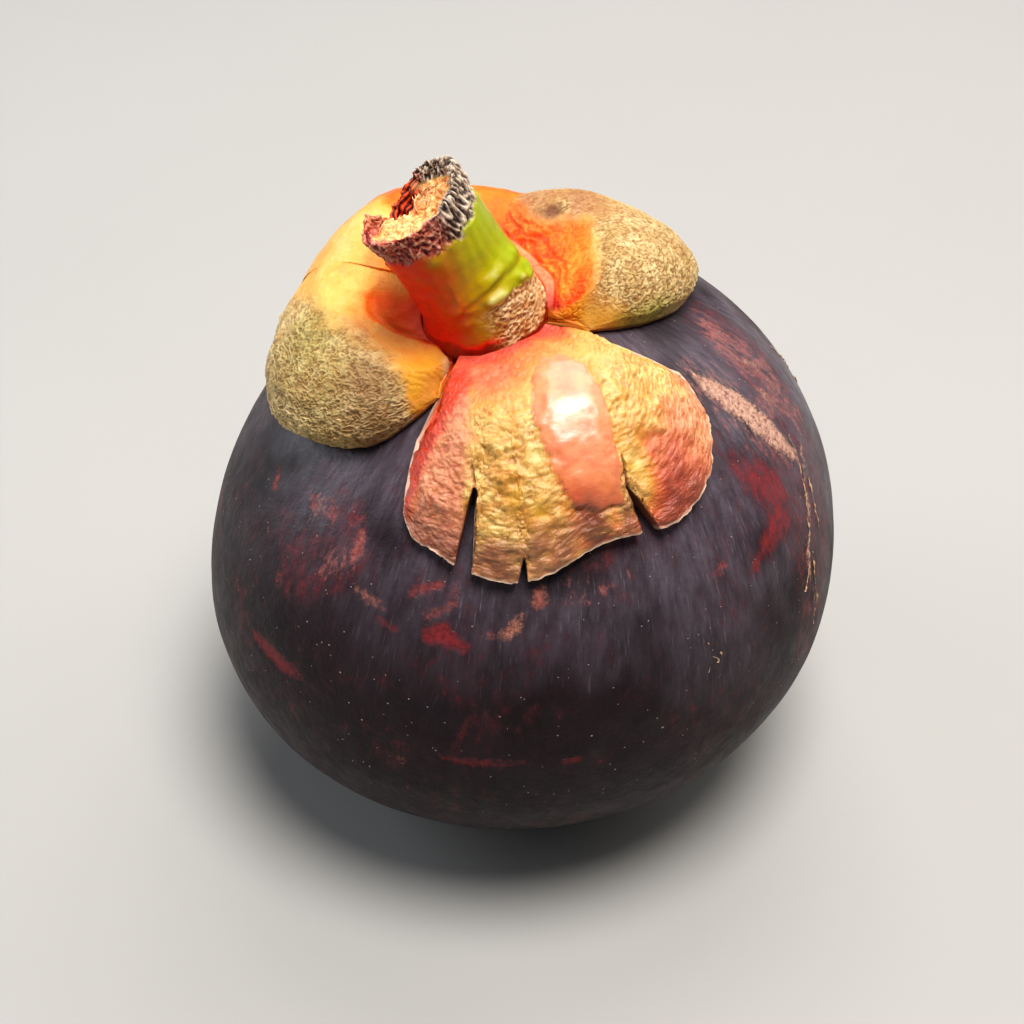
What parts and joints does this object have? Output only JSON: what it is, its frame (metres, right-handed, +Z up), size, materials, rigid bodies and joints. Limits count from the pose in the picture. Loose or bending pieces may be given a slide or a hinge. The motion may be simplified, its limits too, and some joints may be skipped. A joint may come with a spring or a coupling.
{
  "type": "mangosteen",
  "caption": "Whole round mangosteen with a thick purple rind, folded corky calyx sepals around a cut stem, and a stigma rosette underneath.",
  "frame": {"origin": "on the ground, under the middle of the fruit's widest girth", "axes": "+Z up through the fruit, -Y towards the spread front sepal, +X to that sepal's right as seen from the front"},
  "size_m": [0.0621, 0.062, 0.0697],
  "materials": {
    "rind": "dark purple satin rind with reddish scars",
    "stem_skin": "waxy green to orange skin with a dark dried rim",
    "sepal_cork": "wrinkled olive tan cork, orange towards the stem",
    "sepal_smooth": "smooth yellow to orange leathery skin",
    "sepal_spread": "glossy salmon patch in gold and red corky skin",
    "rosette_wood": "dull dark brown"
  },
  "bodies": {
    "root": {"fruit_body": "rind", "stem": "stem_skin", "sepal_left": "sepal_cork", "sepal_right": "sepal_cork", "sepal_back": "sepal_smooth", "sepal_front": "sepal_spread", "stigma_rosette": "rosette_wood"}
  },
  "joints": []
}
